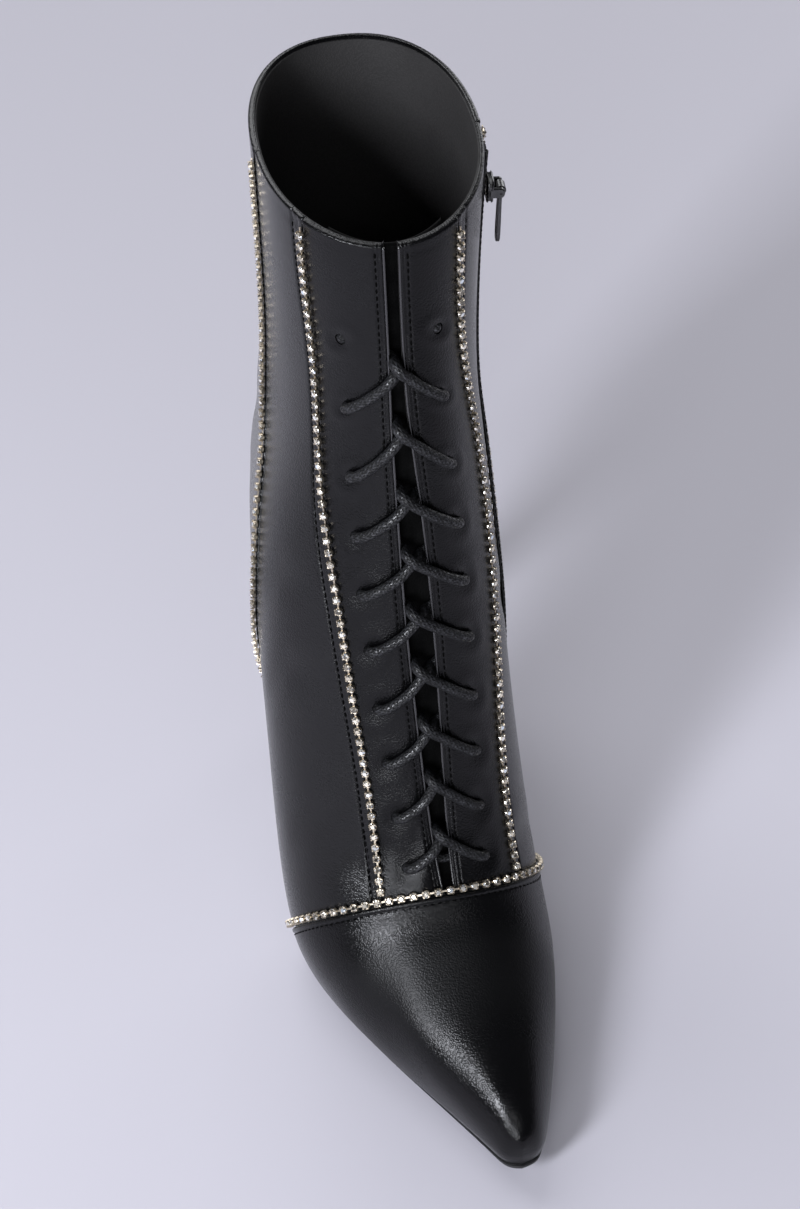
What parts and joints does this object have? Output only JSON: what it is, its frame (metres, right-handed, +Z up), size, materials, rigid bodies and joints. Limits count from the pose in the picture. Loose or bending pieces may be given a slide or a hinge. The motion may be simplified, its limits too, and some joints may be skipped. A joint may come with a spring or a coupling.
{
  "type": "stiletto bootie",
  "caption": "Pointed lace-up stiletto bootie for a right foot: hollow leather upper with stone chain trims, tongue, inside zip with a swinging pull, thin sole and slim high heel.",
  "frame": {"origin": "on the floor, under the middle of the bootie's bounding box", "axes": "+X from the heel to the toe, +Y to the inside of the right foot, +Z up"},
  "size_m": [0.2368, 0.0862, 0.2642],
  "materials": {
    "black_leather": "smooth black leather with a soft satin gloss",
    "tongue_leather": "plain matte black leather",
    "insole_lining": "matte dark lining leather",
    "sole_edge": "smooth black sole with a polished edge",
    "heel_cover": "glossy black covered heel",
    "top_piece_rubber": "matte black rubber top piece",
    "waxed_lace": "round waxed black braid",
    "stone_chain": "clear faceted stones in silver cups",
    "zip_tape": "black woven tape with a black coil",
    "zip_metal": "black nickel slider and pull"
  },
  "bodies": {
    "boot": {"upper": "black_leather", "tongue": "tongue_leather", "insole": "insole_lining", "outsole": "sole_edge", "heel": "heel_cover", "heel_top_piece": "top_piece_rubber", "lace_cross_01": "waxed_lace", "lace_cross_02": "waxed_lace", "lace_cross_03": "waxed_lace", "lace_cross_04": "waxed_lace", "lace_cross_05": "waxed_lace", "lace_cross_06": "waxed_lace", "lace_cross_07": "waxed_lace", "lace_cross_08": "waxed_lace", "lace_cross_09": "waxed_lace", "chain_toe_seam": "stone_chain", "chain_front_lateral": "stone_chain", "chain_front_medial": "stone_chain", "chain_back_lateral": "stone_chain", "chain_back_medial": "stone_chain", "zip_tape": "zip_tape", "zip_slider": "zip_metal"},
    "pull": {"zip_pull": "zip_metal"}
  },
  "joints": [
    {"name": "pull_swing", "type": "hinge", "parent": "boot", "child": "pull", "pos_m": [-0.06455, 0.04096, 0.24586], "axis": [0.9823, -0.1032, 0.1561], "range_deg": [0, 170]}
  ]
}
